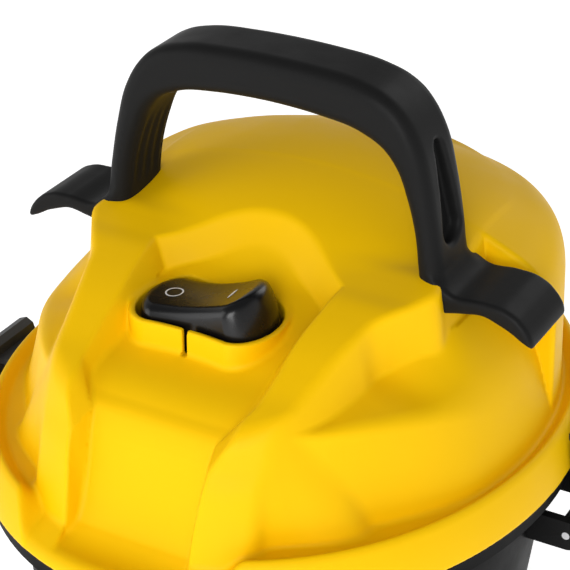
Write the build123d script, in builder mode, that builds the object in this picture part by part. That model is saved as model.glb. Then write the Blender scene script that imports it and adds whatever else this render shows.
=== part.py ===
"""Shop vacuum with a yellow motor head, a black carrying handle and a castored container.

The frame stands on the floor: the origin is the floor point under the middle of the container,
+Z is up and the front (switch, hose inlet) faces -Y. All lengths are in millimetres.
"""
from build123d import *
import math
import os

os.makedirs("parts", exist_ok=True)

# ---------------------------------------------------------------- driving dimensions
WALL = 3.0                     # moulded wall of the head and of the container
SKIRT_LIP = (144.2, 173.0)     # half width and half depth of the head at its lower lip
SKIRT_CREST = (138.4, 166.0)   # the same at the crest of the skirt
SKIRT_Z = 205.2
CREST_Z = 229.0
PLATEAU_Z = 313.0              # seat of the carrying handle
SHELL_TOP = 325.0

HANDLE_Y = (-27.0, 10.0)       # front and back face of the handle
HANDLE_TOP = 404.0
HOOK_Y = (-27.0, 14.0)         # front and back face of the hose hooks

ROCKER = (-6.0, -67.0, 291.0)  # pivot of the switch rocker
ROCKER_TILT = 14.0             # rest tilt, ring side pressed
ROCKER_DEPTH = 10.0            # walls of the rocker below its pivot
OPENING = (35.0, 21.0)         # half length and half width of the switch opening
COLLAR_TOP = 294.0
SLIT = 2.3

RIM_Z = 203.0                  # top of the container
TUB_TOP = (131.0, 158.0)       # outer half width and depth of the tub under its rim
TUB_BOTTOM = (112.0, 138.0)
TUB_FLOOR = 47.0
RIM = (141.5, 170.0)

DECK_Z = 206.0                 # underside of the head base
DECK = 4.0
MOTOR_Y = 28.0                 # the motor, float and filter share this axis
SHAFT = 4.0
RUNNING = 0.05                 # radial clearance of every running fit

INLET_Z = 130.0
INLET_BORE = 17.5
PORT_Z = 248.0

LATCH_SHIFT = 35.0             # the left latch sits this far to the front, the right one to the back
LATCH_WIDTH = 40.0
LATCH_PIVOT = (146.5, 172.0)   # distance from the middle, height

CASTORS = [(sx * 72.0, sy * 88.0) for sx in (-1, 1) for sy in (-1, 1)]
WHEEL = 18.0
TRAIL = 14.0


def finish(solid, name):
    """Label one finished piece and write its file."""
    solid.label = name
    export_step(solid, f"parts/{name}.step")


def mirrored(points):
    """The left half of a symmetrical outline, then its right half, counter-clockwise."""
    return [(-x, y) for x, y in points] + points[::-1]


def upright(x, y, z):
    """A plane at a height, centred over a point of the floor."""
    return Plane(origin=(x, y, z))


# ---------------------------------------------------------------- head cover
# Dome sections: height, half width, half depth, shift of the middle towards the back
DOME = [(222, 130, 156, 0), (284, 124, 149, 2), (300, 108, 132, 5), (314, 78, 96, 9), (SHELL_TOP, 30, 40, 12)]
# Plan of the front shield: half width along the depth
SHIELD = [(95, 20), (95, -28), (82, -50), (74, -68), (69, -90), (65, -112), (61, -134), (60, -146)]
# Side view of the shield's crest: depth, height
SHIELD_SIDE = [
    (20, 316), (-17, 318), (-32, 312), (-62, 305), (-84, 296), (-106, 285.5),
    (-118, 277), (-126, 266), (-132, 252), (-139, 234), (-146, 230),
]
# Plan of the recess between the two ridges
RECESS = [(40, -16), (50, -34), (48.5, -62), (46, -92), (44, -116), (40, -140)]
# Side view of the recess floor
RECESS_SIDE = [(-18, 330), (-26, 308), (-46, 295), (-90, 281.5), (-118, 270), (-126, 261), (-137, 238)]
LEDGE_NORMAL = (0.46, -0.21, 1)


def above(outline, half_width, drop, bottom=None):
    """A slab across X: the space over a side view line, or under it when a bottom is given."""
    line = [(y, z - drop) for y, z in outline]
    close = 360 if bottom is None else bottom
    with BuildPart() as slab:
        with BuildSketch(Plane.YZ):
            with BuildLine():
                Polyline([*line, (line[-1][0], close), (line[0][0], close)], close=True)
            make_face()
        extrude(amount=half_width, both=True)
    return slab.part


def prism(half_outline, inset, bottom, top):
    """An upright prism over a symmetrical plan outline."""
    outline = [(x - inset, y) for x, y in half_outline]
    with BuildPart() as block:
        with BuildSketch(Plane.XY.offset(bottom)):
            with BuildLine():
                Polyline(mirrored(outline), close=True)
            make_face()
        extrude(amount=top - bottom)
    return block.part


def hand_space(drop):
    """Free space under the right hose hook, over a sloping ledge beside the shield."""
    with BuildPart() as space:
        with BuildSketch(Plane(origin=(90, 0, 283 - drop), x_dir=(1, 0, -0.46), z_dir=LEDGE_NORMAL)):
            with Locations((32, -70)):
                Rectangle(84, 176)
        extrude(amount=70)
    return space.part


def head_form(inset, seat_drop):
    """The closed form of the head, drawn in by an inset on every side."""
    right_space = hand_space(inset)
    left_space = mirror(right_space, about=Plane.YZ)
    front_slope = above([(-20, 298), (-175, 230)], 200, inset)
    shield = prism(SHIELD, 3 * inset, SKIRT_Z + 10, 340)
    under_crest = above(SHIELD_SIDE, 120, inset + seat_drop, SKIRT_Z)
    with BuildPart() as form:
        for z, half_width, half_depth, back in DOME:
            with BuildSketch(Plane(origin=(0, back, z - inset))):
                Ellipse(half_width - inset, half_depth - inset)
        loft(ruled=True)
        add(front_slope, mode=Mode.SUBTRACT)
        add(right_space, mode=Mode.SUBTRACT)
        add(left_space, mode=Mode.SUBTRACT)
        add(shield & under_crest)
        with BuildSketch(Plane.XY.offset(SKIRT_Z)):
            Ellipse(SKIRT_LIP[0] - inset, SKIRT_LIP[1] - inset)
        with BuildSketch(Plane.XY.offset(CREST_Z - inset)):
            Ellipse(SKIRT_CREST[0] - inset, SKIRT_CREST[1] - inset)
        loft(ruled=True)
    return form.part


def waisted(half_length, half_width, waist=1.5):
    """A closed peanut outline, slightly narrower across its middle."""
    shoulder = 0.60 * half_length
    return Spline(
        (half_length, 0), (shoulder, half_width), (0, half_width - waist), (-shoulder, half_width),
        (-half_length, 0), (-shoulder, -half_width), (0, waist - half_width), (shoulder, -half_width),
        periodic=True,
    )


COVER_SCREWS = [(-95, -45), (95, -45), (-80, 100), (80, 100)]
HANDLE_SCREWS = [(sx * 82.0, y) for sx in (-1, 1) for y in (-18.0, 2.0)]
ON_FLOOR = (Align.CENTER, Align.CENTER, Align.MIN)
rocker_plan = Plane(origin=(ROCKER[0], ROCKER[1], 0))
outer_form = head_form(0, 0)
cavity = head_form(WALL, 4)
recess = prism(RECESS, 0, SKIRT_Z, 340) & above(RECESS_SIDE, 100, 0)
recess_skin = prism(RECESS, -WALL, SKIRT_Z, 340) & above(RECESS_SIDE, 100, WALL)

with BuildPart() as hollow:
    add(cavity)
    add(recess_skin, mode=Mode.SUBTRACT)
    with BuildSketch(rocker_plan.offset(262)):
        with BuildLine():
            waisted(OPENING[0] + WALL, OPENING[1] + WALL)
        make_face()
    extrude(amount=60, mode=Mode.SUBTRACT)
    with Locations([(x, y, DECK_Z) for x, y in COVER_SCREWS]):
        Cylinder(6, 140, align=ON_FLOOR, mode=Mode.SUBTRACT)
    with BuildSketch(Plane.XY.offset(SKIRT_Z - 1)):
        Ellipse(SKIRT_LIP[0] - WALL - 1.3, SKIRT_LIP[1] - WALL - 1.3)
    extrude(amount=DECK_Z + DECK - SKIRT_Z + 1)

with BuildPart() as head_cover:
    add(outer_form)
    add(recess, mode=Mode.SUBTRACT)
    with BuildSketch(rocker_plan.offset(268)):
        with BuildLine():
            waisted(OPENING[0] + 2.2, OPENING[1] + 2.2)
        make_face()
    extrude(amount=COLLAR_TOP - 268)
    add(hollow.part, mode=Mode.SUBTRACT)
    with BuildSketch(rocker_plan.offset(255)):
        with BuildLine():
            waisted(*OPENING)
        make_face()
    extrude(amount=80, mode=Mode.SUBTRACT)
    with Locations((ROCKER[0], ROCKER[1] - OPENING[1], COLLAR_TOP - 6)):
        Box(SLIT, 12, 13, mode=Mode.SUBTRACT)
    # seats of the hooks and of the handle legs
    with Locations((106, -6, 311), (-106, -6, 311)):
        Box(29.2, 44, 27, mode=Mode.SUBTRACT)
    with Locations((84, -6.5, PLATEAU_Z), (-84, -6.5, PLATEAU_Z)):
        Box(20, 42, 12, align=ON_FLOOR, mode=Mode.SUBTRACT)
    # screw holes
    with Locations([(x, y, DECK_Z + DECK) for x, y in COVER_SCREWS]):
        Cylinder(2.2, 22, align=ON_FLOOR, mode=Mode.SUBTRACT)
    with Locations([(x, y, 300) for x, y in HANDLE_SCREWS]):
        Cylinder(2.2, 20, align=ON_FLOOR, mode=Mode.SUBTRACT)
    # slots of the latch noses
    with Locations((139, LATCH_SHIFT, 217.6), (-139, -LATCH_SHIFT, 217.6)):
        Box(24, LATCH_WIDTH - 12, 6.8, mode=Mode.SUBTRACT)
    # blower port and cord gland at the back
    with Locations(Plane(origin=(0, 135, PORT_Z), z_dir=(0, 1, 0))):
        Cylinder(20.3, 80, mode=Mode.SUBTRACT)
    with Locations(Plane(origin=(-60, 130, 240), z_dir=(0, 1, 0))):
        Cylinder(8.1, 60, mode=Mode.SUBTRACT)
finish(head_cover.part, "head_cover")


# ---------------------------------------------------------------- carrying handle
GRIP_OUTER = [(91, 313), (87.5, 334), (82.5, 356), (76, 376), (64, 393), (46, 401), (23, 403.5), (0, HANDLE_TOP)]
GRIP_INNER = [(78.2, 313), (76, 327), (73, 341), (68.5, 356), (60.5, 368.5), (46, 377.5), (23, 381.3), (0, 382)]
HOOK = [
    (88, 316), (92.5, 312.5), (101, 308.8), (112, 309), (122, 307.8), (129, 304), (136.6, 295),
    (131, 293.6), (126, 297), (119, 299.7), (111, 301.4), (102, 300.6), (91.6, 298), (91.6, 313), (88, 313),
]
GRIP_DEPTH = HANDLE_Y[1] - HANDLE_Y[0]
HOOK_DEPTH = HOOK_Y[1] - HOOK_Y[0]
LEG_GROOVES = [-19.0, -12.0, -5.0, 2.0]


def whole_arch(points):
    """A right half arch from the foot to the middle, followed by its left half."""
    return points + [(-x, z) for x, z in points[-2::-1]]


with BuildPart() as carry_handle:
    with BuildSketch(Plane.XZ.offset(-HANDLE_Y[0])):
        with BuildLine():
            Spline(*whole_arch(GRIP_OUTER))
            Spline(*whole_arch(GRIP_INNER))
            Line(GRIP_OUTER[0], GRIP_INNER[0])
            Line((-GRIP_OUTER[0][0], PLATEAU_Z), (-GRIP_INNER[0][0], PLATEAU_Z))
        make_face()
    extrude(amount=-GRIP_DEPTH)
    fillet(carry_handle.edges().filter_by(GeomType.BSPLINE), radius=4.5)
    # soft grooves down the inner face of each leg
    for groove in LEG_GROOVES:
        with Locations((77, groove, 331), (-77, groove, 331)):
            Box(6, 3, 36, mode=Mode.SUBTRACT)
    for side in (1, -1):
        # hose hook
        with BuildSketch(Plane.XZ.offset(-HOOK_Y[0])):
            with BuildLine():
                Polyline([(side * x, z) for x, z in HOOK], close=True)
            make_face()
        extrude(amount=-HOOK_DEPTH)
        # long recess in the outer face of the leg
        with BuildSketch(Plane(origin=(side * 82.8, -8.5, 347), x_dir=(0, 1, 0), z_dir=(side, 0, 0))):
            SlotOverall(44, 13, rotation=90)
        extrude(amount=12, mode=Mode.SUBTRACT)
    with Locations([(x, y, PLATEAU_Z) for x, y in HANDLE_SCREWS]):
        Cylinder(1.8, 14, align=ON_FLOOR, mode=Mode.SUBTRACT)
finish(carry_handle.part, "carry_handle")


# ---------------------------------------------------------------- switch
rocker_rest = Plane(
    origin=ROCKER,
    x_dir=(math.cos(math.radians(ROCKER_TILT)), 0, math.sin(math.radians(ROCKER_TILT))),
    z_dir=(-math.sin(math.radians(ROCKER_TILT)), 0, math.cos(math.radians(ROCKER_TILT))),
)

with BuildPart() as switch_rocker:
    # upright lower walls, which stay inside the opening at both tilts
    with BuildSketch(rocker_rest.offset(-ROCKER_DEPTH)):
        with BuildLine():
            waisted(33, 19)
        make_face()
    extrude(amount=ROCKER_DEPTH - 2)
    with BuildSketch(rocker_rest.offset(-2)):
        with BuildLine():
            waisted(33, 19)
        make_face()
    with BuildSketch(rocker_rest.offset(15)):
        with BuildLine():
            waisted(27, 12)
        make_face()
    loft()
    # dished top
    with Locations(rocker_rest * Location((0, 0, 85), (90, 0, 0))):
        Cylinder(75, 60, mode=Mode.SUBTRACT)
    # pocket from below, crossed by the pivot pin
    with Locations(rocker_rest * Location((0, 0, -ROCKER_DEPTH))):
        Box(40, 20, ROCKER_DEPTH + 8, align=ON_FLOOR, mode=Mode.SUBTRACT)
    with Locations(rocker_rest * Location((0, 0, 0), (90, 0, 0))):
        Cylinder(2, 26)
finish(switch_rocker.part, "switch_rocker")

with BuildPart() as switch_body:
    with BuildSketch(rocker_plan.offset(263)):
        with BuildLine():
            waisted(OPENING[0] - 0.2, OPENING[1] - 0.2)
        make_face()
    extrude(amount=7)
    with Locations((ROCKER[0], ROCKER[1], 248)):
        Box(56, 30, 22, align=ON_FLOOR)
    # pivot post inside the rocker, with the bore of its pin
    with Locations((ROCKER[0], ROCKER[1], 270)):
        Box(14, 18, 25, align=ON_FLOOR)
    with Locations(Location(ROCKER, (90, 0, 0))):
        Cylinder(2 + RUNNING, 30, mode=Mode.SUBTRACT)
    # terminals
    with GridLocations(14, 12, 2, 2):
        with Locations((ROCKER[0], ROCKER[1], 240)):
            Box(0.8, 6.3, 8, align=ON_FLOOR)
finish(switch_body.part, "switch_body")


# ---------------------------------------------------------------- head base
def ring(outer, inner, bottom, height, mode=Mode.ADD):
    """Add an elliptical ring, standing on a height, to the part being built."""
    with BuildSketch(Plane.XY.offset(bottom)) as section:
        Ellipse(*outer)
        Ellipse(*inner, mode=Mode.SUBTRACT)
    extrude(section.sketch, amount=height, mode=mode)


BRIDGE_FEET = [(-72, MOTOR_Y), (72, MOTOR_Y)]
FAN_EYE = 17.0

with BuildPart() as head_base:
    with BuildSketch(Plane.XY.offset(DECK_Z)):
        Ellipse(SKIRT_LIP[0] - 4.7, SKIRT_LIP[1] - 4.7)
    extrude(amount=DECK)
    # spigot that centres the head in the container, and the filter seat
    ring((125, 152), (122, 149), 196, DECK_Z - 196)
    with BuildSketch(upright(0, MOTOR_Y, DECK_Z)):
        Circle(FAN_EYE)
    extrude(amount=DECK, mode=Mode.SUBTRACT)
    # motor well
    with BuildSketch(upright(0, MOTOR_Y, DECK_Z + DECK)):
        Circle(68)
        Circle(65.2, mode=Mode.SUBTRACT)
    extrude(amount=12)
    with Locations([(x, y, DECK_Z) for x, y in COVER_SCREWS + BRIDGE_FEET]):
        Cylinder(2.3, DECK, align=ON_FLOOR, mode=Mode.SUBTRACT)
finish(head_base.part, "head_base")

with BuildPart() as rim_seal:
    ring((136, 164), (130.5, 157.5), RIM_Z, DECK_Z - RIM_Z)
finish(rim_seal.part, "rim_seal")


def screw(x, y, seat, length, radius, head_radius, head_height):
    """Add an upright pan head screw whose head hangs under its seat."""
    with Locations((x, y, seat)):
        Cylinder(radius, length, align=ON_FLOOR)
        Cylinder(head_radius, head_height, align=(Align.CENTER, Align.CENTER, Align.MAX))


with BuildPart() as cover_screws:
    for x, y in COVER_SCREWS:
        screw(x, y, DECK_Z, 24, 2.1, 4.2, 2.6)
finish(cover_screws.part, "cover_screws")

with BuildPart() as bridge_screws:
    for x, y in BRIDGE_FEET:
        screw(x, y, DECK_Z, 20, 2.1, 4.2, 2.6)
finish(bridge_screws.part, "bridge_screws")

with BuildPart() as handle_screws:
    for x, y in HANDLE_SCREWS:
        screw(x, y, 309, 17, 1.75, 3.6, 2.4)
finish(handle_screws.part, "handle_screws")


# ---------------------------------------------------------------- motor and fan
CAN = 42.0
CORE_Z = (250.0, 276.0)
AXIS = (0, MOTOR_Y)


def disc(bottom, height, radius, bore=0, mode=Mode.ADD):
    """Add a disc or a ring around the motor axis to the part being built."""
    with BuildSketch(upright(*AXIS, bottom)) as section:
        Circle(radius)
        if bore:
            Circle(bore, mode=Mode.SUBTRACT)
    extrude(section.sketch, amount=height, mode=mode)


with BuildPart() as motor_ring_lower:
    disc(210, 4, 64, 50)
finish(motor_ring_lower.part, "motor_ring_lower")

with BuildPart() as fan_cover:
    disc(214, 22, 64)
    disc(215.2, 21, 62.8, mode=Mode.SUBTRACT)
    disc(214, 2, FAN_EYE, mode=Mode.SUBTRACT)
finish(fan_cover.part, "fan_cover")

with BuildPart() as impeller:
    disc(231, 1.2, 56, SHAFT)
    disc(218, 1.2, 56, 18)
    disc(219, 12.5, 9, SHAFT)
    for angle in range(0, 360, 40):
        with Locations(Location((0, MOTOR_Y, 219), (0, 0, angle))):
            with Locations(Location((37, 0, 0), (0, 0, 35))):
                Box(36, 1.2, 12.5, align=ON_FLOOR)
finish(impeller.part, "impeller")

with BuildPart() as impeller_nut:
    with BuildSketch(upright(*AXIS, 214.8)):
        RegularPolygon(6.5, 6)
        Circle(SHAFT, mode=Mode.SUBTRACT)
    extrude(amount=4.2)
finish(impeller_nut.part, "impeller_nut")

with BuildPart() as diffuser_plate:
    disc(236, 3, 64, 11)
    disc(236, 7, 14, 11)
    with Locations((0, MOTOR_Y, 236)):
        with PolarLocations(53, 12):
            Cylinder(4.5, 3, align=ON_FLOOR, mode=Mode.SUBTRACT)
finish(diffuser_plate.part, "diffuser_plate")

with BuildPart() as bearing_lower:
    disc(236, 6, 11, SHAFT + RUNNING)
finish(bearing_lower.part, "bearing_lower")

with BuildPart() as bearing_upper:
    disc(291, 6, 11, SHAFT + RUNNING)
finish(bearing_upper.part, "bearing_upper")

with BuildPart() as motor_can:
    disc(239, 55, CAN, CAN - 2)
    disc(291, 3, CAN, 11)
    disc(291, 7, 14, 11)
    with Locations((0, MOTOR_Y, 242)):
        with PolarLocations(CAN - 1, 6, start_angle=30):
            Box(6, 12, 5, align=ON_FLOOR, mode=Mode.SUBTRACT)
finish(motor_can.part, "motor_can")


def coil_space(side, height, spread):
    """Add a curved block on one side of the rotor, the space that a field coil takes."""
    middle = (CORE_Z[0] + CORE_Z[1]) / 2
    start = 90 * side - spread
    with BuildSketch(upright(*AXIS, middle - height / 2)) as section:
        with BuildLine():
            outer = CenterArc((0, 0), 35, start, 2 * spread)
            inner = CenterArc((0, 0), 26, start, 2 * spread)
            Line(outer @ 0, inner @ 0)
            Line(outer @ 1, inner @ 1)
        make_face()
    extrude(section.sketch, amount=height)


with BuildPart() as coil_window:
    for side in (1, -1):
        coil_space(side, CORE_Z[1] - CORE_Z[0], 52)

with BuildPart() as stator_coils:
    for side in (1, -1):
        coil_space(side, 38, 68)
    add(coil_window.part, mode=Mode.SUBTRACT)
finish(stator_coils.part, "stator_coils")

with BuildPart() as stator_core:
    disc(CORE_Z[0], CORE_Z[1] - CORE_Z[0], CAN - 2, 23)
    add(stator_coils.part, mode=Mode.SUBTRACT)
finish(stator_core.part, "stator_core")

with BuildPart() as rotor_shaft:
    disc(214.5, 84.5, SHAFT)
finish(rotor_shaft.part, "rotor_shaft")

with BuildPart() as rotor_core:
    disc(CORE_Z[0], CORE_Z[1] - CORE_Z[0], 22, SHAFT)
    with Locations((0, MOTOR_Y, CORE_Z[0])):
        with PolarLocations(20.6, 12):
            Box(4, 1.6, CORE_Z[1] - CORE_Z[0], align=ON_FLOOR, mode=Mode.SUBTRACT)
finish(rotor_core.part, "rotor_core")

with BuildPart() as rotor_winding:
    disc(244.5, CORE_Z[0] - 244.5, 18, SHAFT)
    disc(CORE_Z[1], 5.5, 18, SHAFT)
finish(rotor_winding.part, "rotor_winding")

with BuildPart() as commutator:
    disc(281.5, 8.5, 11, SHAFT)
finish(commutator.part, "commutator")

BRUSH_Z = 286.0
with BuildPart() as brush_holders:
    for side in (1, -1):
        with Locations((side * 25.7, MOTOR_Y, BRUSH_Z)):
            Box(24.5, 9, 8.4)
            Box(24.5, 7, 6.4, mode=Mode.SUBTRACT)
        with Locations((side * 38.4, MOTOR_Y, BRUSH_Z)):
            Box(1, 9, 8.4)
finish(brush_holders.part, "brush_holders")

with BuildPart() as carbon_brushes:
    with Locations((18.3, MOTOR_Y, BRUSH_Z), (-18.3, MOTOR_Y, BRUSH_Z)):
        Box(14, 7, 6.4)
finish(carbon_brushes.part, "carbon_brushes")

with BuildPart() as brush_springs:
    with Locations(
        Location((31.6, MOTOR_Y, BRUSH_Z), (0, 90, 0)), Location((-31.6, MOTOR_Y, BRUSH_Z), (0, 90, 0))
    ):
        Cylinder(2.6, 12.6)
        Cylinder(1.8, 12.6, mode=Mode.SUBTRACT)
finish(brush_springs.part, "brush_springs")

with BuildPart() as motor_cap_upper:
    disc(294, 8, 18)
    disc(294, 4, 14, mode=Mode.SUBTRACT)
    disc(297, 3, 6, mode=Mode.SUBTRACT)
finish(motor_cap_upper.part, "motor_cap_upper")

with BuildPart() as motor_bridge:
    with Locations((0, MOTOR_Y, 302)):
        Box(152, 22, 4, align=ON_FLOOR)
    for x, y in BRIDGE_FEET:
        with Locations((x, y, 210)):
            Box(8, 22, 96, align=ON_FLOOR)
            Cylinder(2.2, 22, align=ON_FLOOR, mode=Mode.SUBTRACT)
finish(motor_bridge.part, "motor_bridge")

with BuildPart() as exhaust_foam:
    disc(244, 44, 62, 46)
finish(exhaust_foam.part, "exhaust_foam")

with BuildPart() as blower_port:
    with BuildSketch(Plane(origin=(0, 118, PORT_Z), x_dir=(1, 0, 0), z_dir=(0, 1, 0))):
        Circle(20.2)
        Circle(INLET_BORE, mode=Mode.SUBTRACT)
    extrude(amount=50)
    with BuildSketch(Plane(origin=(0, 132, PORT_Z), x_dir=(1, 0, 0), z_dir=(0, 1, 0))):
        Circle(25)
        Circle(20, mode=Mode.SUBTRACT)
    extrude(amount=3)
finish(blower_port.part, "blower_port")

with BuildPart() as cord_gland:
    with BuildSketch(Plane(origin=(-60, 118, 240), x_dir=(1, 0, 0), z_dir=(0, 1, 0))):
        Circle(8)
        Circle(3.6, mode=Mode.SUBTRACT)
    extrude(amount=38)
    with BuildSketch(Plane(origin=(-60, 118, 240), x_dir=(1, 0, 0), z_dir=(0, 1, 0))):
        Circle(12)
        Circle(7.9, mode=Mode.SUBTRACT)
    extrude(amount=3)
finish(cord_gland.part, "cord_gland")


# ---------------------------------------------------------------- float and filter
with BuildPart() as float_cage:
    disc(140, 3, 29)
    disc(140, 66, 29, 26)
    with Locations((0, MOTOR_Y, 150)):
        with PolarLocations(27.5, 6):
            Box(10, 13, 44, align=ON_FLOOR, mode=Mode.SUBTRACT)
    disc(112, 28, 6)
finish(float_cage.part, "float_cage")

with BuildPart() as float_valve:
    disc(143.2, 34, 22)
    disc(143.2, 30, 20, mode=Mode.SUBTRACT)
finish(float_valve.part, "float_valve")

with BuildPart() as filter_cap_upper:
    disc(200, 6, 58, 31)
finish(filter_cap_upper.part, "filter_cap_upper")


def pleat_line(count, inner, outer):
    """The zigzag outline of a pleated cartridge."""
    step = math.pi / count
    return [
        ((outer if n % 2 else inner) * math.cos(n * step), (outer if n % 2 else inner) * math.sin(n * step))
        for n in range(2 * count)
    ]


with BuildPart() as filter_pleats:
    with BuildSketch(upright(*AXIS, 120)):
        with BuildLine():
            Polyline(pleat_line(36, 44, 55), close=True)
        make_face()
        with BuildLine():
            Polyline(pleat_line(36, 42.4, 53.4), close=True)
        make_face(mode=Mode.SUBTRACT)
    extrude(amount=80)
finish(filter_pleats.part, "filter_pleats")

with BuildPart() as filter_cap_lower:
    disc(116, 4, 58, 6.3)
finish(filter_cap_lower.part, "filter_cap_lower")

with BuildPart() as filter_nut:
    with BuildSketch(upright(*AXIS, 104)):
        Circle(16)
        with PolarLocations(17, 6):
            Circle(4, mode=Mode.SUBTRACT)
    extrude(amount=12)
    disc(112, 4, 6, mode=Mode.SUBTRACT)
finish(filter_nut.part, "filter_nut")


# ---------------------------------------------------------------- container
LUG_SHIFT = LATCH_WIDTH / 2 + 3.2
with BuildPart() as container:
    with BuildSketch(Plane.XY.offset(TUB_FLOOR)):
        Ellipse(*TUB_BOTTOM)
    with BuildSketch(Plane.XY.offset(RIM_Z)):
        Ellipse(*TUB_TOP)
    loft(ruled=True)
    ring(RIM, (120, 150), RIM_Z - 7, 7)
    # boss of the hose inlet
    with BuildSketch(Plane(origin=(0, -156, INLET_Z), x_dir=(1, 0, 0), z_dir=(0, 1, 0))):
        Circle(31)
    extrude(amount=30)
    # lugs of the latches
    for side in (1, -1):
        latch_y = side * LATCH_SHIFT
        with Locations((side * 130, latch_y - LUG_SHIFT, 172), (side * 130, latch_y + LUG_SHIFT, 172)):
            Box(33, 5, 16)
            with Locations(Location((side * 16.5, 0, 0), (90, 0, 0))):
                Cylinder(8, 5)
    with BuildSketch(Plane.XY.offset(TUB_FLOOR + WALL)):
        Ellipse(TUB_BOTTOM[0] - WALL, TUB_BOTTOM[1] - WALL)
    with BuildSketch(Plane.XY.offset(RIM_Z)):
        Ellipse(TUB_TOP[0] - WALL, TUB_TOP[1] - WALL)
    loft(ruled=True, mode=Mode.SUBTRACT)
    with BuildSketch(Plane(origin=(0, -160, INLET_Z), x_dir=(1, 0, 0), z_dir=(0, 1, 0))):
        Circle(20.55)
    extrude(amount=40, mode=Mode.SUBTRACT)
    for side in (1, -1):
        with Locations(Location((side * LATCH_PIVOT[0], side * LATCH_SHIFT, LATCH_PIVOT[1]), (90, 0, 0))):
            Cylinder(2, 60, mode=Mode.SUBTRACT)
    # blind castor sockets
    with Locations([(x, y, 43) for x, y in CASTORS]):
        Cylinder(9, 23, align=ON_FLOOR)
        Cylinder(4 + RUNNING, 19, align=ON_FLOOR, mode=Mode.SUBTRACT)
finish(container.part, "container")

with BuildPart() as inlet_seal:
    with BuildSketch(Plane(origin=(0, -158, INLET_Z), x_dir=(1, 0, 0), z_dir=(0, 1, 0))):
        Circle(28)
        Circle(20.6, mode=Mode.SUBTRACT)
    extrude(amount=2)
finish(inlet_seal.part, "inlet_seal")

with BuildPart() as inlet_fitting:
    with BuildSketch(Plane(origin=(0, -172, INLET_Z), x_dir=(1, 0, 0), z_dir=(0, 1, 0))):
        Circle(20.5)
        Circle(INLET_BORE, mode=Mode.SUBTRACT)
    extrude(amount=50)
    with BuildSketch(Plane(origin=(0, -161, INLET_Z), x_dir=(1, 0, 0), z_dir=(0, 1, 0))):
        Circle(29)
        Circle(20, mode=Mode.SUBTRACT)
    extrude(amount=3)
finish(inlet_fitting.part, "inlet_fitting")

with BuildPart() as inlet_deflector:
    with BuildSketch(Plane(origin=(0, -134, INLET_Z), x_dir=(1, 0, 0), z_dir=(0, 1, 0))):
        Circle(24)
    extrude(amount=40)
    with BuildSketch(Plane(origin=(0, -134, INLET_Z), x_dir=(1, 0, 0), z_dir=(0, 1, 0))):
        Circle(20.5)
    extrude(amount=37, mode=Mode.SUBTRACT)
    with Locations((0, -108, INLET_Z - 15)):
        Box(60, 26, 30, mode=Mode.SUBTRACT)
finish(inlet_deflector.part, "inlet_deflector")


# ---------------------------------------------------------------- latches
# Right latch seen from the front: distance from the middle, height
LATCH_OUTLINE = [
    (145.6, 172), (145.6, 214.5), (136.2, 214.5), (136.2, 218.2), (145.6, 218.2), (147, 222),
    (151, 224), (155.5, 222), (154.5, 200), (152.5, 172),
]
for side, latch_name in ((1, "right"), (-1, "left")):
    latch_y = side * LATCH_SHIFT
    pivot = Location((side * LATCH_PIVOT[0], latch_y, LATCH_PIVOT[1]), (90, 0, 0))
    with BuildPart() as latch:
        with BuildSketch(Plane.XZ.offset(-latch_y)):
            with BuildLine():
                Polyline([(side * x, z) for x, z in LATCH_OUTLINE], close=True)
            make_face()
        extrude(amount=LATCH_WIDTH / 2, both=True)
        with Locations(pivot):
            Cylinder(6, LATCH_WIDTH)
            Cylinder(2 + RUNNING, LATCH_WIDTH, mode=Mode.SUBTRACT)
        # the nose is narrower than the lever
        with Locations((side * 139, latch_y - 17, 216), (side * 139, latch_y + 17, 216)):
            Box(12, 8, 6, mode=Mode.SUBTRACT)
    finish(latch.part, f"latch_{latch_name}")

    with BuildPart() as latch_pin:
        with Locations(pivot):
            Cylinder(2, LATCH_WIDTH + 11.4)
    finish(latch_pin.part, f"latch_pin_{latch_name}")


# ---------------------------------------------------------------- castors
CHEEK = 2.5
CHEEK_GAP = 15.0
for number, (x, y) in enumerate(CASTORS, start=1):
    with BuildPart() as fork:
        with Locations((x, y, 38)):
            Cylinder(11, 4, align=ON_FLOOR)
            Cylinder(4, 22, align=ON_FLOOR)
        with Locations((x, y + TRAIL / 2, 38)):
            Box(CHEEK_GAP + 2 * CHEEK, TRAIL + 12, 4, align=ON_FLOOR)
        for cheek in (-1, 1):
            cheek_x = x + cheek * (CHEEK_GAP + CHEEK) / 2
            with BuildSketch(Plane(origin=(cheek_x, y, 0), x_dir=(0, 1, 0), z_dir=(1, 0, 0))):
                with BuildLine():
                    Polyline([(-7, 40), (TRAIL + 6, 40), (TRAIL + 6, 12), (TRAIL - 6, 12)], close=True)
                make_face()
            extrude(amount=CHEEK / 2, both=True)
        with Locations(Location((x, y + TRAIL, WHEEL), (0, 90, 0))):
            Cylinder(2.5, CHEEK_GAP + 2 * CHEEK, mode=Mode.SUBTRACT)
    finish(fork.part, f"castor_fork_{number}")

    with BuildPart() as axle:
        with Locations(Location((x, y + TRAIL, WHEEL), (0, 90, 0))):
            Cylinder(2.5, CHEEK_GAP + 2 * CHEEK + 1)
    finish(axle.part, f"castor_axle_{number}")

    with BuildPart() as wheel:
        with Locations(Location((x, y + TRAIL, WHEEL), (0, 90, 0))):
            Cylinder(WHEEL, CHEEK_GAP - 1)
            Cylinder(2.5 + RUNNING, CHEEK_GAP, mode=Mode.SUBTRACT)
        fillet(wheel.edges().filter_by(GeomType.CIRCLE).group_by(SortBy.RADIUS)[-1], radius=2)
    finish(wheel.part, f"castor_wheel_{number}")
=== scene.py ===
"""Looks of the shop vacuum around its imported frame: shapes, finishes, light and camera.

Shapes are worked out in millimetres, in the frame of the part, and stored in metres.
"""

import math

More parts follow.
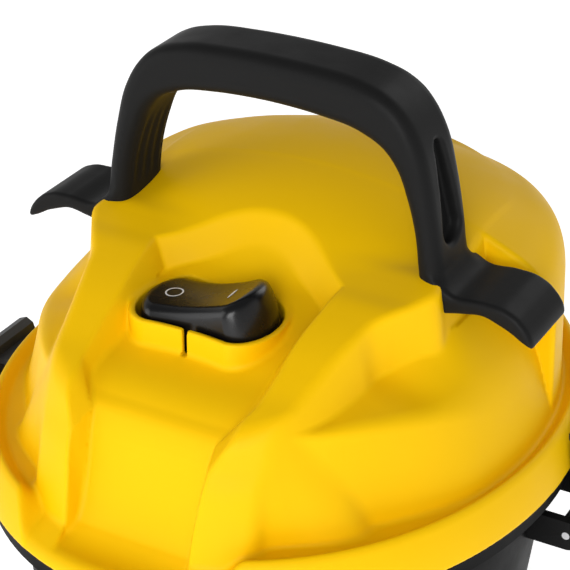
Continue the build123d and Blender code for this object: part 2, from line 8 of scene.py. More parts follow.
import bmesh
import bpy
import numpy as np
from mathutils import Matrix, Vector


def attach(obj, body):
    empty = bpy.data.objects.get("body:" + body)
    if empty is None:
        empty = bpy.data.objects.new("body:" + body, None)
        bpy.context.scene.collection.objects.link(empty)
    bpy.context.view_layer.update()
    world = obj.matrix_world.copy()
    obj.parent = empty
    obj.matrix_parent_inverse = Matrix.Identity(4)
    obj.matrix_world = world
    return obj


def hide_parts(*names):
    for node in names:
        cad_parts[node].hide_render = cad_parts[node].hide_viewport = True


MM = 0.001

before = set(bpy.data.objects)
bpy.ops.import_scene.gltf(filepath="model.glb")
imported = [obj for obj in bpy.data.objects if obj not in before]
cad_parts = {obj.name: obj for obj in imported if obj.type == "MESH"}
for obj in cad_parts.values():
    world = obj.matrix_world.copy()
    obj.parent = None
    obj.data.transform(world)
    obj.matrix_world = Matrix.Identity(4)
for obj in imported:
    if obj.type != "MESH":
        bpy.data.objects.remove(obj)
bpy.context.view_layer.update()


# ---------------------------------------------------------------- camera, floor and light
CAMERA_PLACE = (0.4112, -0.7462, 0.7455)
CAMERA_AIM = (0.0, -0.0068, 0.2794)
LENS = 126.2                  # focal length on a sensor 36 mm wide
FLOOR_SIZE = 14.0


def look_at(thing, target):
    """Turn a camera or a lamp towards a point."""
    line = Vector(target) - thing.location
    thing.rotation_euler = line.to_track_quat("-Z", "Y").to_euler()


def add_camera():
    """A long lens that looks down on the head from the front right."""
    data = bpy.data.cameras.new("camera")
    data.lens = LENS
    data.sensor_width = 36.0
    camera = bpy.data.objects.new("camera", data)
    bpy.context.scene.collection.objects.link(camera)
    camera.location = CAMERA_PLACE
    look_at(camera, CAMERA_AIM)
    bpy.context.scene.camera = camera
    bpy.context.scene.view_settings.view_transform = "Standard"


def add_lamp(name, place, target, size, power):
    """A large square soft box."""
    data = bpy.data.lights.new(name, "AREA")
    data.shape = "SQUARE"
    data.size = size
    data.energy = power
    lamp = bpy.data.objects.new(name, data)
    bpy.context.scene.collection.objects.link(lamp)
    lamp.location = place
    look_at(lamp, target)


def add_world(zenith, horizon):
    """Soft room light, dimmer overhead than around the horizon."""
    stops = ((0.15, horizon), (0.75, zenith))
    world = bpy.data.worlds.new("studio")
    bpy.context.scene.world = world
    world.use_nodes = True
    tree = world.node_tree
    place = tree.nodes.new("ShaderNodeTexCoord")
    split = tree.nodes.new("ShaderNodeSeparateXYZ")
    ramp = tree.nodes.new("ShaderNodeValToRGB")
    for stop, (position, grey) in zip(ramp.color_ramp.elements, stops):
        stop.position = position
        stop.color = (grey, grey, grey, 1)
    tree.links.new(place.outputs["Generated"], split.inputs[0])
    tree.links.new(split.outputs["Z"], ramp.inputs[0])
    tree.links.new(ramp.outputs[0], tree.nodes["Background"].inputs["Color"])


def add_floor():
    """A pale studio floor, evenly lit."""
    bpy.ops.mesh.primitive_plane_add(size=FLOOR_SIZE)
    floor = bpy.context.object
    floor.name = "floor"
    material = bpy.data.materials.new("floor")
    material.use_nodes = True
    shader = material.node_tree.nodes["Principled BSDF"]
    shader.inputs["Base Color"].default_value = (0.9, 0.9, 0.9, 1)
    shader.inputs["Roughness"].default_value = 0.8
    shader.inputs["Emission Color"].default_value = (1, 1, 1, 1)
    shader.inputs["Emission Strength"].default_value = 0.6
    floor.data.materials.append(material)


add_camera()
add_floor()
add_world(zenith=0.22, horizon=0.75)
add_lamp("key", (0.7, -2.3, 1.1), (0, 0, 0.28), 1.4, 39)
add_lamp("fill", (-1.7, -1.4, 0.9), (0, 0, 0.28), 1.6, 13)
add_lamp("back", (0.5, 1.9, 1.4), (0, 0, 0.3), 1.2, 9)


# ---------------------------------------------------------------- finishes
BUMP_HEIGHT = 0.0004          # height of the grain at full depth, in metres
GLOSS_SPREAD = 0.1            # how unevenly rough a surface is
COAT_ROUGHNESS = 0.12
NOISE_RANGE = (0.3, 0.7)      # where nearly all values of a noise lie
EDGE_RANGE = (0.52, 0.64)     # pointiness where the painted edge highlight and wear begins and where it is full
EDGE_GAIN, EDGE_LIFT = 2.2, 0.02      # how much paler an edge is painted, as a highlight and as wear


def toned(colour, gain, lift=0.0):
    """A colour made paler or darker, with full opacity."""
    return (*[min(1, c * gain + lift) for c in colour], 1)


def finish(name, colour, roughness, metallic=0.0, grain=900.0, grain_depth=0.04, variation=0.05,
           coat=0.0, edge=0.0, mottling=14.0, specular=0.5):
    """A moulded, machined or porous surface: uneven tone and gloss, fine grain, and edges painted paler
    as highlight and wear.
    """
    material = bpy.data.materials.new(name)
    material.use_nodes = True
    tree = material.node_tree
    shader = tree.nodes["Principled BSDF"]
    shader.inputs["Metallic"].default_value = metallic
    shader.inputs["Coat Weight"].default_value = coat
    shader.inputs["Coat Roughness"].default_value = COAT_ROUGHNESS
    shader.inputs["Specular IOR Level"].default_value = specular
    place = tree.nodes.new("ShaderNodeTexCoord")

    def noise(scale, detail):
        node = tree.nodes.new("ShaderNodeTexNoise")
        node.inputs["Scale"].default_value = scale
        node.inputs["Detail"].default_value = detail
        tree.links.new(place.outputs["Object"], node.inputs["Vector"])
        return node.outputs["Fac"]

    def spread(source, low, high):
        node = tree.nodes.new("ShaderNodeMapRange")
        node.inputs["From Min"].default_value = NOISE_RANGE[0]
        node.inputs["From Max"].default_value = NOISE_RANGE[1]
        node.inputs["To Min"].default_value = low
        node.inputs["To Max"].default_value = high
        tree.links.new(source, node.inputs["Value"])
        return node.outputs["Result"]

    patches = noise(mottling, 3)
    tone = tree.nodes.new("ShaderNodeMix")
    tone.data_type = "RGBA"
    tone.inputs["A"].default_value = toned(colour, 1 - variation)
    tone.inputs["B"].default_value = toned(colour, 1 + variation)
    tree.links.new(patches, tone.inputs["Factor"])
    surface_colour = tone.outputs["Result"]
    # Convex edges are painted paler by pointiness: a painted edge highlight, partly also wear.
    if edge:
        shape = tree.nodes.new("ShaderNodeNewGeometry")
        edge_highlight_and_wear_mask = tree.nodes.new("ShaderNodeMapRange")
        edge_highlight_and_wear_mask.inputs["From Min"].default_value = EDGE_RANGE[0]
        edge_highlight_and_wear_mask.inputs["From Max"].default_value = EDGE_RANGE[1]
        edge_highlight_and_wear_mask.inputs["To Max"].default_value = edge
        edge_highlight_and_wear_mix = tree.nodes.new("ShaderNodeMix")
        edge_highlight_and_wear_mix.data_type = "RGBA"
        edge_highlight_and_wear_mix.inputs["B"].default_value = toned(colour, EDGE_GAIN, EDGE_LIFT)
        tree.links.new(shape.outputs["Pointiness"], edge_highlight_and_wear_mask.inputs["Value"])
        tree.links.new(edge_highlight_and_wear_mask.outputs["Result"], edge_highlight_and_wear_mix.inputs["Factor"])
        tree.links.new(surface_colour, edge_highlight_and_wear_mix.inputs["A"])
        surface_colour = edge_highlight_and_wear_mix.outputs["Result"]
    tree.links.new(surface_colour, shader.inputs["Base Color"])
    gloss = spread(noise(60, 4), roughness * (1 - GLOSS_SPREAD), roughness * (1 + GLOSS_SPREAD))
    tree.links.new(gloss, shader.inputs["Roughness"])
    bump = tree.nodes.new("ShaderNodeBump")
    bump.inputs["Strength"].default_value = grain_depth
    bump.inputs["Distance"].default_value = BUMP_HEIGHT
    tree.links.new(noise(grain, 2), bump.inputs["Height"])
    tree.links.new(bump.outputs["Normal"], shader.inputs["Normal"])
    return material


# Some finishes paint their convex edges paler: a painted edge highlight, partly also wear.
LOOKS = {
    "cover_yellow": dict(colour=(0.88, 0.515, 0.001), roughness=0.48, variation=0.02, grain_depth=0.02,
                         specular=0.08),
    "handle_black": dict(colour=(0.011, 0.011, 0.011), roughness=0.42, grain_depth=0.05, edge=0.35,
                         specular=0.06),
    "rocker_black": dict(colour=(0.003, 0.003, 0.0035), roughness=0.27, coat=0.05, grain_depth=0.01,
                         specular=0.35),
    "switch_case": dict(colour=(0.012, 0.012, 0.012), roughness=0.5),
    "tub_black": dict(colour=(0.004, 0.004, 0.004), roughness=0.5, grain_depth=0.08, edge=0.3,
                      specular=0.04),
    "deck_black": dict(colour=(0.018, 0.018, 0.018), roughness=0.55),
    "latch_black": dict(colour=(0.007, 0.007, 0.007), roughness=0.42, edge=0.4, specular=0.35),
    "seal_rubber": dict(colour=(0.012, 0.012, 0.012), roughness=0.8),
    "screw_steel": dict(colour=(0.55, 0.55, 0.56), roughness=0.3, metallic=1),
    "sheet_steel": dict(colour=(0.55, 0.55, 0.56), roughness=0.35, metallic=1),
    "core_steel": dict(colour=(0.35, 0.35, 0.36), roughness=0.45, metallic=1),
    "copper": dict(colour=(0.75, 0.32, 0.14), roughness=0.3, metallic=1),
    "commutator_copper": dict(colour=(0.8, 0.38, 0.2), roughness=0.25, metallic=1),
    "carbon": dict(colour=(0.03, 0.03, 0.03), roughness=0.6),
    "brass": dict(colour=(0.75, 0.55, 0.22), roughness=0.3, metallic=1),
    "fan_aluminium": dict(colour=(0.75, 0.76, 0.77), roughness=0.3, metallic=1),
    "shaft_steel": dict(colour=(0.6, 0.6, 0.61), roughness=0.2, metallic=1),
    "foam_grey": dict(colour=(0.12, 0.12, 0.13), roughness=0.95, grain=500, grain_depth=0.9,
                      variation=0.2),
    "filter_paper": dict(colour=(0.75, 0.68, 0.5), roughness=0.9, grain=700, grain_depth=0.5),
    "filter_rubber": dict(colour=(0.05, 0.05, 0.05), roughness=0.75),
    "float_white": dict(colour=(0.8, 0.8, 0.78), roughness=0.4),
    "castor_black": dict(colour=(0.02, 0.02, 0.02), roughness=0.45, edge=0.4),
    "castor_tread": dict(colour=(0.06, 0.06, 0.06), roughness=0.7, grain_depth=0.2),
    "mark_grey": dict(colour=(0.75, 0.75, 0.75), roughness=0.4),
}
FINISHES = {name: finish(name, **look) for name, look in LOOKS.items()}


def dress_frame():
    """Give every CAD node the finish of its material slot."""
    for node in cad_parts.values():
        for place in node.material_slots:
            place.material = FINISHES[place.material.name.split(".")[0]]


# ---------------------------------------------------------------- sculpting with distance fields
def smooth_min(a, b, radius):
    """Union of two distance fields with a fillet of about this radius."""
    reach = np.maximum(radius - np.abs(a - b), 0) / radius
    return np.minimum(a, b) - reach * reach * radius / 4


def smooth_max(a, b, radius):
    """Intersection of two distance fields with a rounding of about this radius."""
    return -smooth_min(-a, -b, radius)


def step_up(value, low, high):
    """0 below low, 1 above high, smooth between them."""
    t = np.clip((value - low) / (high - low), 0, 1)
    return t * t * (3 - 2 * t)


class Curve:
    """A smooth line through points, as a value over the first coordinate."""

    samples = 300

    def __init__(self, *points):
        knots, values = np.array(sorted(points), float).T
        slopes = np.gradient(values, knots)
        self.at = np.linspace(knots[0], knots[-1], self.samples)
        cell = np.clip(np.searchsorted(knots, self.at) - 1, 0, len(knots) - 2)
        width = knots[cell + 1] - knots[cell]
        t = (self.at - knots[cell]) / width
        self.value = (
            (2 * t**3 - 3 * t**2 + 1) * values[cell] + (3 * t**2 - 2 * t**3) * values[cell + 1]
            + (t**3 - 2 * t**2 + t) * width * slopes[cell] + (t**3 - t**2) * width * slopes[cell + 1]
        )
        self.slope = np.gradient(self.value, self.at)

    def __call__(self, x):
        return np.interp(x, self.at, self.value)

    def steepness(self, x):
        return np.interp(x, self.at, self.slope)


def gradient(field, points, reach=0.15):
    """Slope of a field at points, by central differences."""
    slope = np.empty_like(points)
    for axis in range(3):
        ahead = points.copy()
        ahead[:, axis] += reach
        behind = points.copy()
        behind[:, axis] -= reach
        slope[:, axis] = (field(*ahead.T) - field(*behind.T)) / (2 * reach)
    return slope


def settle(field, points, rounds, longest):
    """Move points onto the zero surface of a field."""
    for _ in range(rounds):
        slope = gradient(field, points)
        size = np.maximum((slope**2).sum(1), 0.05)
        move = slope * (field(*points.T) / size)[:, None]
        length = np.linalg.norm(move, axis=1, keepdims=True)
        points = points - move * np.minimum(1, longest / np.maximum(length, 1e-9))
    return points


def surface_net(field, low, high, step):
    """Corner points and four-sided faces of the zero surface of a field inside a box."""
    axes = [np.arange(a, b + step, step) for a, b in zip(low, high)]
    solid = np.empty([len(axis) for axis in axes], bool)
    for i, x in enumerate(axes[0]):
        y, z = np.meshgrid(axes[1], axes[2], indexing="ij")
        solid[i] = field(np.full_like(y, x), y, z) < 0
    corners = np.zeros([n - 1 for n in solid.shape], np.int8)
    for i in (0, 1):
        for j in (0, 1):
            for k in (0, 1):
                corners += solid[i:i + corners.shape[0], j:j + corners.shape[1], k:k + corners.shape[2]]
    active = (corners > 0) & (corners < 8)
    number = np.full(active.shape, -1)
    number[active] = np.arange(active.sum())
    cells = np.argwhere(active)
    points = np.stack([axes[a][cells[:, a]] + step / 2 for a in range(3)], axis=1)
    faces = []
    for axis in range(3):
        across, along = [a for a in range(3) if a != axis]
        before = np.take(solid, range(solid.shape[axis] - 1), axis)
        after = np.take(solid, range(1, solid.shape[axis]), axis)
        edges = np.argwhere(before != after)
        inside = (edges[:, across] > 0) & (edges[:, along] > 0)
        inside &= (edges[:, across] < number.shape[across]) & (edges[:, along] < number.shape[along])
        edges = edges[inside]
        outward = before[tuple(edges.T)]
        loop = []
        for back_across, back_along in ((1, 1), (0, 1), (0, 0), (1, 0)):
            cell = edges.copy()
            cell[:, across] -= back_across
            cell[:, along] -= back_along
            loop.append(number[tuple(cell.T)])
        quads = np.stack(loop, axis=1)
        flip = outward if axis == 1 else ~outward
        quads[flip] = quads[flip][:, ::-1]
        faces.append(quads)
    return points, np.concatenate(faces)


def relax(field, points, faces, rounds, longest, ease=0.4):
    """Even out the spacing of the corners while they stay on the surface."""
    pairs = np.concatenate([faces[:, [i, (i + 1) % 4]] for i in range(4)])
    count = np.bincount(pairs.ravel(), minlength=len(points))[:, None]
    for _ in range(rounds):
        total = np.zeros_like(points)
        for axis in range(3):
            total[:, axis] += np.bincount(pairs[:, 0], points[pairs[:, 1], axis], len(points))
            total[:, axis] += np.bincount(pairs[:, 1], points[pairs[:, 0], axis], len(points))
        evened = (1 - ease) * points + ease * total / count
        points = settle(field, evened, rounds=2, longest=longest)
    return points


def carve(name, field, low, high, step, share):
    """A mesh piece of the zero surface of a field, thinned to a share of its faces."""
    points, faces = surface_net(field, low, high, step)
    points = settle(field, points, rounds=3, longest=step)
    points = relax(field, points, faces, rounds=3, longest=step)
    mesh = bpy.data.meshes.new(name)
    mesh.from_pydata((points * MM).tolist(), [], faces.tolist())
    piece = bpy.data.objects.new(name, mesh)
    bpy.context.scene.collection.objects.link(piece)
    thin = piece.modifiers.new("thin", "DECIMATE")
    thin.ratio = share
    bpy.context.view_layer.objects.active = piece
    bpy.ops.object.modifier_apply(modifier=thin.name)
    corners = np.empty(len(mesh.vertices) * 3)
    mesh.vertices.foreach_get("co", corners)
    corners = settle(field, corners.reshape(-1, 3) / MM, rounds=2, longest=step / 2)
    mesh.vertices.foreach_set("co", (corners * MM).ravel())
    mesh.polygons.foreach_set("use_smooth", [True] * len(mesh.polygons))
    normals = gradient(field, corners)
    normals /= np.maximum(np.linalg.norm(normals, axis=1, keepdims=True), 1e-6)
    mesh.update()
    mesh.normals_split_custom_set_from_vertices(normals.tolist())
    return piece


def peanut(x, y, half_length, half_width, waist=1.5, straight=0.6):
    """Distance to a peanut outline around the origin, round past the straight share of its length."""
    shoulder = straight * half_length
    inner = np.minimum(np.abs(x) / shoulder, 1)
    width = half_width - waist * (1 - inner * inner)
    over = np.maximum(np.abs(x) - shoulder, 0) / (half_length - shoulder)
    across = np.abs(y) / width
    reach = np.maximum(np.hypot(over, across), 1e-3)
    slope = np.hypot(over / (half_length - shoulder), across / width) / reach
    return (reach - 1) / np.maximum(slope, 1e-3)


# ---------------------------------------------------------------- head cover
# Rings around the head are ovals, given by their half width. Curves are over y or over z.
OVAL = 1.2                    # depth of every ring over its width
SHELL = 6.5                   # thickness of the sculpted wall

SKIRT_Z, CREST_Z = 205.2, 229.0
SKIRT_R = 144.2               # at its lower edge
SKIRT_DRAW = 5.8              # how far the skirt draws in from its lower edge to its crest
SKIRT_BEND = 1.7              # above 1, it draws in mostly near the crest
GROOVE_R = 138.0              # the groove behind the crest starts inside this ring
GROOVE_DEPTH = 5.5
GROOVE_SIDE = 7.0
RAMP_Z, RAMP_R = 209.0, 144.5
RAMP_RISE, RAMP_LENGTH = 0.62, 1.18   # of the plain ramp in front, per mm of its run
RAMP_SIDE = (46, 60)          # the ramp gives way to the groove between these half widths

FOOT_Z, FOOT_R = 224.0, 129.6         # lower end of the walls above the skirt
DOME_Z, DOME_Y = 334.0, 41.0          # highest point of the dome
DOME_BEND_X, DOME_BEND_Y = 0.0020, 0.0036
DOME_LEAN = 0.03              # of its walls against the upright
SHOULDER_Z, SHOULDER_X = 316.5, 93.0
SHOULDER_FALL, SHOULDER_LENGTH = 0.5, 1.118   # of the slope at each side, per mm of its run

QUARTER_ANGLES = (math.radians(42), math.radians(72))   # from straight ahead, where its lean changes
QUARTER_LEAN, QUARTER_UPRIGHT = 0.29, 0.14    # at the sides, and how much less it is in front
QUARTER_SETBACK = 8.0         # of the wall in front
CREASE_R, CREASE_Z = 116.5, 264.5     # where the ledge starts, beside the middle of the head
CREASE_BEND = 0.0009          # the crease climbs towards the front
LEDGE_RISE = 24.0             # the ledge climbs no higher than this over the crease
LEDGE_SLOPE = Curve((-140, -0.2), (-108, -0.1), (-90, 0.24), (-75, 0.36), (-54, 0.46), (-40, 0.8),
                    (-28, 1.1), (0, 1.2), (30, 1.2))

# outer side of a ridge at its crest, its lean below the crest, and the height of the crest, over y
RIDGE = Curve((-160, 58), (-140, 58.4), (-124, 58.8), (-106, 62.5), (-95, 65), (-84, 67.6), (-72, 71),
              (-62, 74), (-53, 80), (-42, 87), (-32, 92), (-25, 91), (-15, 90.5), (30, 90.5))
RIDGE_LEAN = Curve((-160, 0), (-140, 0), (-131, 0.04), (-124, 0.2), (-116, 0.36), (-106, 0.45),
                   (-95, 0.42), (-72, 0.24), (-53, 0.03), (-32, 0.12), (30, 0.12))
CREST = Curve((-160, 264), (-130, 276), (-118, 281), (-108, 285), (-95, 291.5), (-84, 297), (-72, 302),
              (-62, 305.5), (-52, 308.5), (-42, 310), (-32, 312), (-25, 313.4), (-15, 313.6), (30, 313.6))
# ring of the front face, over z
FRONT = Curve((190, 132), (210, 131.5), (221, 130.5), (240, 127), (253, 124.2), (262, 121), (270, 118.5),
              (290, 112), (340, 98))

# floor of the recess around the switch, and its half width at the crest, over y
TRAY = Curve((-180, 214.5), (-149, 215), (-145.5, 217.5), (-139.5, 229), (-135, 242), (-129.5, 258),
             (-126, 264.5), (-118, 271), (-90, 281.5), (-46, 296), (-34, 301), (-25, 308), (0, 330))
INNER = Curve((-180, 37), (-148, 38.5), (-141, 40.6), (-135, 41.5), (-123, 44), (-108, 45.5), (-92, 46.5),
              (-82, 46.5), (-62, 48.5), (-42, 50), (-20, 50), (0, 50))
TRAY_SLANT = 0.55             # of the tray's side walls against the upright
FACE_SLANT, FACE_OUTSET = 0.6, 1.2    # of those walls on the front face, against its depth
FACE_END = (-128, -112)       # the front face gives way to the slope above it
FACE_DEPTH = 9.0
SLANT_REACH = (-20, 12)       # the side walls slant between these depths below the crest
ARCH_Z, ARCH_Y = 308.0, -25.0         # foot of the arch that closes the recess
ARCH_BEND = 0.0078            # it comes forward at its sides
ARCH_STEEP, ARCH_LENGTH = 1.5, 1.8    # its rise and its length, per mm of its run

DOME_START = 30.0             # the dome rises behind this y, and 8 mm further forward at its top
DOME_START_SHIFT = 8.0
DOME_START_Z = (270, 305)     # it comes forward between these heights

SWITCH = (-6.0, -67.0)        # middle of the switch opening
OPENING = (35.0, 21.0)        # half length and half width of the switch opening
OPENING_FOOT = 262.0
COLLAR_WALL = 3.0
COLLAR_TOP, COLLAR_FOOT = 294.0, 266.0
COLLAR_CORE = 3.8             # solid around the opening, beside the hollow of the head
SLIT_HALF = 1.3
SLIT_FOOT = 281.0
SLIT_Y = (-26.0, -16.0)       # from the middle of the switch
LATCH_Y = 35.0                # the left latch is this far in front of the middle, the right one behind
SLOT_Z, SLOT_HALF_HEIGHT, SLOT_HALF_LENGTH = 217.6, 3.4, 14.0
SLOT_X = 127.0                # the latch slots are cut outside this half width
PORT_Z, PORT_R = 248.0, 20.3
GLAND_X, GLAND_Z, GLAND_R = -60.0, 240.0, 8.1
BACK_Y = 95.0                 # both holes of the back wall are cut behind this
HEAD_BOX = (-150, -178, 202), (150, 178, 338)


def oval_radius(x, y):
    """Half width of the ring through a point, and how fast it grows there."""
    radius = np.maximum(np.hypot(x, y / OVAL), 1)
    return radius, np.hypot(x, y / OVAL**2) / radius


def skirt_field(x, y, z):
    """Skirt with a groove behind its crest, and a plain ramp in place of both at the front."""
    radius, growth = oval_radius(x, y)
    rise = np.clip((z - SKIRT_Z) / (CREST_Z - SKIRT_Z), 0, 1.3)
    face = (radius - SKIRT_R + SKIRT_DRAW * rise**SKIRT_BEND) / growth
    front = (1 - step_up(np.abs(x), *RAMP_SIDE)) * (y < 0)
    groove = GROOVE_DEPTH * step_up(GROOVE_R - radius, 0, GROOVE_SIDE) * (1 - front)
    ledge = z - CREST_Z + groove
    ramp = (z - RAMP_Z - RAMP_RISE * (RAMP_R - radius)) / RAMP_LENGTH
    return smooth_max(face, ledge * (1 - front) + ramp * front, 4)


def dome_field(x, y, z):
    """The dome behind the handle, and its bare top surface."""
    radius, growth = oval_radius(x, y)
    wall = (radius - FOOT_R + DOME_LEAN * (z - FOOT_Z)) / growth
    back = y - DOME_Y
    top = (z - DOME_Z + DOME_BEND_X * x**2 + DOME_BEND_Y * back**2) / np.sqrt(
        1 + (2 * DOME_BEND_X * x) ** 2 + (2 * DOME_BEND_Y * back) ** 2)
    shoulder = (z - SHOULDER_Z + SHOULDER_FALL * (np.abs(x) - SHOULDER_X)) / SHOULDER_LENGTH
    return smooth_max(smooth_max(top, shoulder, 3), wall, 18), top


def quarter_field(x, y, z):
    """Leaning front wall under the hooks, with the sloping ledge above its crease."""
    radius, growth = oval_radius(x, y)
    front = 1 - step_up(np.arctan2(np.abs(x), -y), *QUARTER_ANGLES)
    lean = QUARTER_LEAN - QUARTER_UPRIGHT * front
    wall = (radius - FOOT_R + QUARTER_SETBACK * front + lean * (z - FOOT_Z)) / np.hypot(growth, lean)
    crease = np.sqrt(np.maximum(CREASE_R**2 - (y / OVAL) ** 2, 0))
    crease_height = CREASE_Z + CREASE_BEND * np.minimum(y, 0) ** 2
    slope = LEDGE_SLOPE(y)
    climb = np.minimum(slope * (crease - np.abs(x)), LEDGE_RISE)
    ledge = (z - crease_height - climb) / np.hypot(1, slope)
    return smooth_max(wall, ledge, 5)


def shield_field(x, y, z, top):
    """Front body between the two ridges, which the tray is cut from, up to the dome's top surface."""
    radius, growth = oval_radius(x, y)
    crest = CREST(y)
    lean = RIDGE_LEAN(y)
    side = (np.abs(x) - RIDGE(y) - lean * (crest - z)) / np.sqrt(1 + lean**2 + RIDGE.steepness(y) ** 2)
    over = (z - crest) / np.hypot(1, CREST.steepness(y))
    front = (radius - FRONT(z)) / np.hypot(growth, FRONT.steepness(z))
    cap = smooth_min(over, top, 3)
    return smooth_max(smooth_max(side, cap, 3.5), front, 5)


def tray_field(x, y, z):
    """Space of the recess around the switch, closed at the back by an arch."""
    floor = (TRAY(y) - z) / np.hypot(1, TRAY.steepness(y))
    radius, _ = oval_radius(x, y)
    on_face = 1 - step_up(y, *FACE_END)
    inset = on_face * (FACE_SLANT * np.clip(FRONT(z) - radius, 0, FACE_DEPTH) - FACE_OUTSET)
    below = np.clip(CREST(y) - z, *SLANT_REACH)
    side = (np.abs(x) - INNER(y) + TRAY_SLANT * below + inset) / np.hypot(1, TRAY_SLANT)
    arch = (ARCH_Z + ARCH_STEEP * (y - ARCH_Y + ARCH_BEND * x**2) - z) / ARCH_LENGTH
    return smooth_max(smooth_max(side, floor, 2.5), arch, 0.8)


def outer_field(x, y, z):
    """Outside of the head without its switch collar."""
    dome, top = dome_field(x, y, z)
    start = DOME_START - DOME_START_SHIFT * step_up(z, *DOME_START_Z)
    body = smooth_min(quarter_field(x, y, z), shield_field(x, y, z, top), 1.5)
    body = smooth_min(body, smooth_max(dome, start - y, 3), 0.8)
    body = smooth_min(body, skirt_field(x, y, z), 2.5)
    return smooth_max(body, -tray_field(x, y, z), 1.6)


def head_field(x, y, z):
    """The hollow head with its slotted switch collar, latch slots and the holes of its back wall."""
    along, across = x - SWITCH[0], y - SWITCH[1]
    outer = outer_field(x, y, z)
    opening = peanut(along, across, *OPENING)
    collar = smooth_max(opening - COLLAR_WALL, z - COLLAR_TOP, 1.4)
    shape = smooth_min(outer, smooth_max(collar, COLLAR_FOOT - z, 1), 2.5)
    shape = smooth_max(shape, SKIRT_Z - z, 2)
    hollow = np.maximum(outer + SHELL, COLLAR_CORE - opening)
    shape = np.maximum(shape, -hollow)
    shape = smooth_max(shape, -np.maximum(opening, OPENING_FOOT - z), 1)
    slit = np.maximum(np.abs(along) - SLIT_HALF, np.maximum(across - SLIT_Y[1], SLIT_FOOT - z))
    slit = np.maximum(slit, SLIT_Y[0] - across)
    shape = np.maximum(shape, -slit)
    slot = np.maximum(np.abs(y - LATCH_Y * np.sign(x)) - SLOT_HALF_LENGTH,
                      np.abs(z - SLOT_Z) - SLOT_HALF_HEIGHT)
    shape = np.maximum(shape, -np.maximum(slot, SLOT_X - np.abs(x)))
    port = np.hypot(x, z - PORT_Z) - PORT_R
    gland = np.hypot(x - GLAND_X, z - GLAND_Z) - GLAND_R
    return np.maximum(shape, -np.maximum(np.minimum(port, gland), BACK_Y - y))


def add_head_cover():
    """The yellow moulding, in place of its CAD node."""
    step = 1.5
    piece = carve("head_shell", head_field, *HEAD_BOX, step, share=0.35)
    piece.data.materials.append(FINISHES["cover_yellow"])
    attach(piece, "vacuum")
    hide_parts("head_cover")


# ---------------------------------------------------------------- switch rocker
TILT = math.radians(14)       # of the key at rest, with its ring side down
PIVOT = (*SWITCH, 291.0)
KEY = (32.8, 19.2)            # half length and half width at the foot of the key
KEY_DRAW = 3.0                # how far its walls draw in towards the top
DRAW_START, DRAW_END = -2.0, 15.0     # from the pivot
KEY_REACH = 34.6              # farthest from the pivot, so that it clears the opening
KEY_TOP, KEY_FOOT = 10.0, 10.0        # above and below the pivot
DISH = 105.0                  # radius of the hollow top
MARK_LIFT = 0.12
OFF_MARK, ON_MARK = -16.5, 15.5       # middles of the marks along the key
KEY_BOX = (-43, -90, 270), (31, -44, 316)


def rocker_field(x, y, z):
    """Peanut-shaped key with a dished top, tilted about its pivot."""
    dx, dz = x - PIVOT[0], z - PIVOT[2]
    along = dx * math.cos(TILT) + dz * math.sin(TILT)
    up = dz * math.cos(TILT) - dx * math.sin(TILT)
    rise = np.clip((up - DRAW_START) / (DRAW_END - DRAW_START), 0, 1.1)
    side = peanut(along, y - PIVOT[1], *KEY) + rise**2 * KEY_DRAW
    side = smooth_max(side, np.hypot(along, up) - KEY_REACH, 1)
    dish = DISH - np.hypot(along, up - DISH - KEY_TOP)
    return smooth_max(smooth_max(side, dish, 5), -up - KEY_FOOT, 1)


def rocker_place(along, across):
    """A point just proud of the dished top of the rocker."""
    up = DISH + KEY_TOP - math.sqrt(DISH**2 - along**2) + MARK_LIFT
    x = PIVOT[0] + along * math.cos(TILT) - up * math.sin(TILT)
    z = PIVOT[2] + up * math.cos(TILT) + along * math.sin(TILT)
    return (x * MM, (PIVOT[1] + across) * MM, z * MM)


def add_mark(name, outer, inner):
    """A thin printed mark between two outlines of the same number of points."""
    mesh = bmesh.new()
    rings = [[mesh.verts.new(rocker_place(*p)) for p in outline] for outline in (outer, inner)]
    count = len(outer)
    for i in range(count):
        j = (i + 1) % count
        mesh.faces.new((rings[0][i], rings[0][j], rings[1][j], rings[1][i]))
    data = bpy.data.meshes.new(name)
    mesh.to_mesh(data)
    mesh.free()
    piece = bpy.data.objects.new(name, data)
    bpy.context.scene.collection.objects.link(piece)
    data.materials.append(FINISHES["mark_grey"])
    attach(piece, "rocker")


def ring_points(middle, radius_along, radius_across, count=48):
    """An oval outline on the rocker, centred this far along it."""
    angles = [2 * math.pi * i / count for i in range(count)]
    return [(middle + radius_along * math.cos(a), radius_across * math.sin(a)) for a in angles]


def add_rocker():
    """The key of the switch with a ring for off and a bar for on."""
    step = 0.6
    piece = carve("rocker_key", rocker_field, *KEY_BOX, step, share=0.5)
    piece.data.materials.append(FINISHES["rocker_black"])
    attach(piece, "rocker")
    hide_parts("switch_rocker")
    add_mark("mark_off", ring_points(OFF_MARK, 4.4, 4.4), ring_points(OFF_MARK, 3.6, 3.6))
    add_mark("mark_on", ring_points(ON_MARK, 0.7, 4.6), ring_points(ON_MARK, 0.05, 4.0))


# ---------------------------------------------------------------- carrying handle
HANDLE_MIDDLE = 330.0         # height of the centre that the arch is drawn around
LEG_FOOT = 309.0
GRIP_Y = (-27.0, 10.0)
GRIP_MIDDLE = sum(GRIP_Y) / 2
HOOK_Y = (-27.0, 14.0)
HOOK_X = (88.0, 136.6)
# both arches as half width and height, from a foot to the crown
OUTER_ARCH = [(92.6, 300), (91.3, 309), (89.7, 316), (87, 334), (82.7, 356), (77.2, 375), (71, 386),
              (64.5, 393), (57, 397.5), (46, 400.8), (23, 403.2), (0, 403.8)]
INNER_ARCH = [(78.8, 300), (78.2, 309), (77.2, 318), (75, 334), (70.3, 351), (65.3, 363), (58.6, 371),
              (48, 376.5), (29.6, 380), (0, 381.6)]
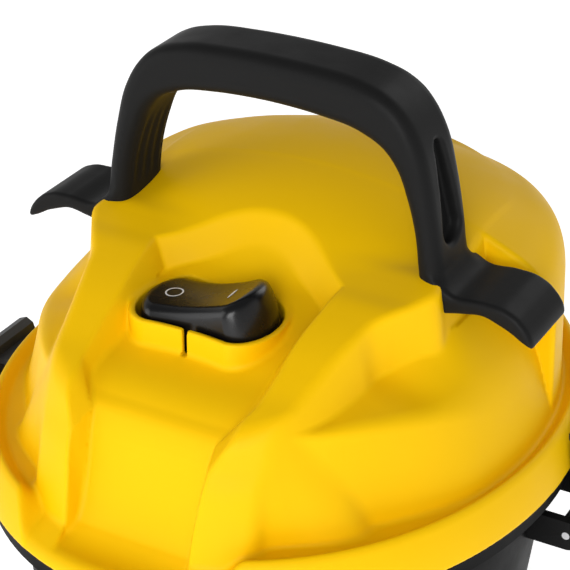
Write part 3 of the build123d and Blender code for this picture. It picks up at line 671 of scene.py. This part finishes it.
# upper and lower face of a hook, as height over half width
HOOK_TOP = Curve((80, 314), (91.4, 311), (97.3, 308.6), (112, 309), (122.7, 307.8), (129.6, 304),
                 (135.5, 296.5), (137.5, 292))
HOOK_UNDER = Curve((80, 295), (91.8, 298.2), (102, 300.6), (112.3, 301.9), (119.2, 299.7), (125.2, 297.2),
                   (131, 293.8), (137.5, 291))
RIB_DEPTH, RIB_PITCH = 0.7, 7.4
RIB_HALF_ROW = 13.0
RIB_START, RIB_END = (318, 328), (350, 362)   # heights that the ribs fade in and out between
DROP_Y, DROP_Z = -7.5, (334, 370)     # recess in the outer face of a leg, from its wide to its narrow end
DROP_HALF_WIDTH, DROP_TAPER = 8.6, 0.13
DROP_FLOOR_X, DROP_FLOOR_Z, DROP_FLOOR_LEAN = 79.5, 340.0, 0.19
HANDLE_BOX = (-140, -31, 288), (140, 17, 407)


def polar_arch(points):
    """An arch as radius over angle from the vertical around its middle."""
    half = [(math.atan2(x, z - HANDLE_MIDDLE), math.hypot(x, z - HANDLE_MIDDLE)) for x, z in points]
    other_half = [(-angle, reach) for angle, reach in half if angle > 0]
    return Curve(*half, *other_half)


OUTER_LINE = polar_arch(OUTER_ARCH)
INNER_LINE = polar_arch(INNER_ARCH)


def arch_field(side, y, z):
    """The grip and its legs, with ribs inside the legs."""
    angle = np.arctan2(side, z - HANDLE_MIDDLE)
    reach = np.maximum(np.hypot(side, z - HANDLE_MIDDLE), 1)
    outside = (reach - OUTER_LINE(angle)) / np.hypot(1, OUTER_LINE.steepness(angle) / reach)
    inside = (INNER_LINE(angle) - reach) / np.hypot(1, INNER_LINE.steepness(angle) / reach)
    from_middle = np.abs(y - GRIP_MIDDLE)
    arch = smooth_max(np.maximum(outside, inside), from_middle - (GRIP_Y[1] - GRIP_Y[0]) / 2, 8)
    arch = smooth_max(arch, LEG_FOOT - z, 0.5)
    ribs = RIB_DEPTH * (0.5 + 0.5 * np.cos(2 * math.pi * (y - GRIP_MIDDLE) / RIB_PITCH))
    where = step_up(z, *RIB_START) * (1 - step_up(z, *RIB_END)) * (from_middle < RIB_HALF_ROW)
    return arch + ribs * where * (np.abs(inside) < 4)


def drop_field(side, y, z):
    """Long drop-shaped recess in the outer face of a leg."""
    middle = np.clip(z, *DROP_Z)
    width = DROP_HALF_WIDTH - DROP_TAPER * (middle - DROP_Z[0])
    outline = np.hypot(y - DROP_Y, z - middle) - width
    return smooth_max(outline, DROP_FLOOR_X - side - DROP_FLOOR_LEAN * (z - DROP_FLOOR_Z), 2)


def hook_field(side, y, z):
    """The curled plate that a hose or a cord hangs on."""
    sheet = smooth_max(
        (z - HOOK_TOP(side)) / np.hypot(1, HOOK_TOP.steepness(side)),
        (HOOK_UNDER(side) - z) / np.hypot(1, HOOK_UNDER.steepness(side)), 1.5)
    across = np.abs(y - sum(HOOK_Y) / 2) - (HOOK_Y[1] - HOOK_Y[0]) / 2
    return smooth_max(smooth_max(sheet, across, 3), np.maximum(side - HOOK_X[1], HOOK_X[0] - side), 2)


def handle_field(x, y, z):
    """The whole handle, the same on both sides."""
    side = np.abs(x)
    arch = smooth_max(arch_field(side, y, z), -drop_field(side, y, z), 2.5)
    return smooth_min(arch, hook_field(side, y, z), 6)


def add_handle():
    """The handle with both hooks, in place of its CAD node."""
    step = 1.2
    piece = carve("handle_shell", handle_field, *HANDLE_BOX, step, share=0.6)
    piece.data.materials.append(FINISHES["handle_black"])
    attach(piece, "vacuum")
    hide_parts("carry_handle")


dress_frame()
add_head_cover()
add_rocker()
add_handle()
